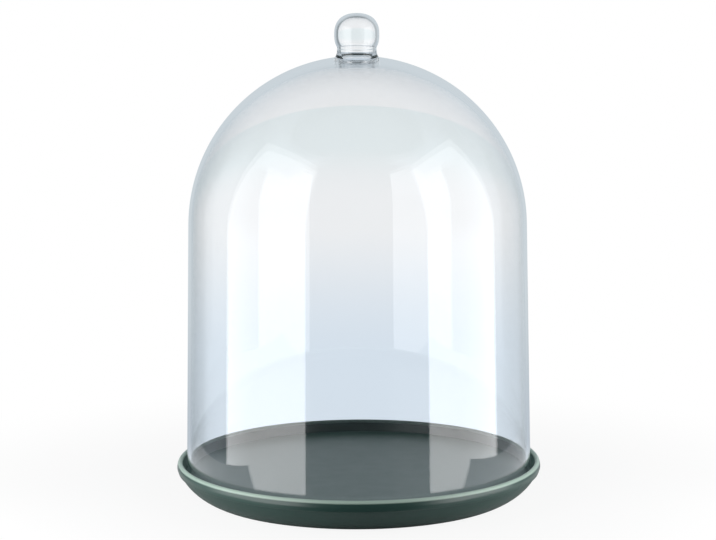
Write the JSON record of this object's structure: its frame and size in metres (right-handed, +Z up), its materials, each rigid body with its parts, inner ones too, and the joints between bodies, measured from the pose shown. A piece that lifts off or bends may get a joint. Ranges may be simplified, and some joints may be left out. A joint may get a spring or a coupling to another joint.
{
  "type": "display cloche",
  "caption": "Clear bell-shaped dome with a hollow ball knob, standing loose in the shallow well of a round tray; it covers food on show and lifts straight off.",
  "frame": {"origin": "middle of the tray's foot ring, on the surface that the cloche stands on", "axes": "+Z up along the axis of the tray, dome and knob; X and Y are alike because every piece is round"},
  "size_m": [0.235, 0.235, 0.3098],
  "materials": {
    "tray_melamine": "glossy grey-green melamine",
    "clear_plastic": "clear, polished mould finish"
  },
  "bodies": {
    "tray": {"tray": "tray_melamine"},
    "cover": {"dome": "clear_plastic", "knob": "clear_plastic"}
  },
  "joints": [
    {"name": "dome_lift", "type": "slide", "parent": "tray", "child": "cover", "axis": [0, 0, 1], "range_m": [0, 0.28]}
  ]
}
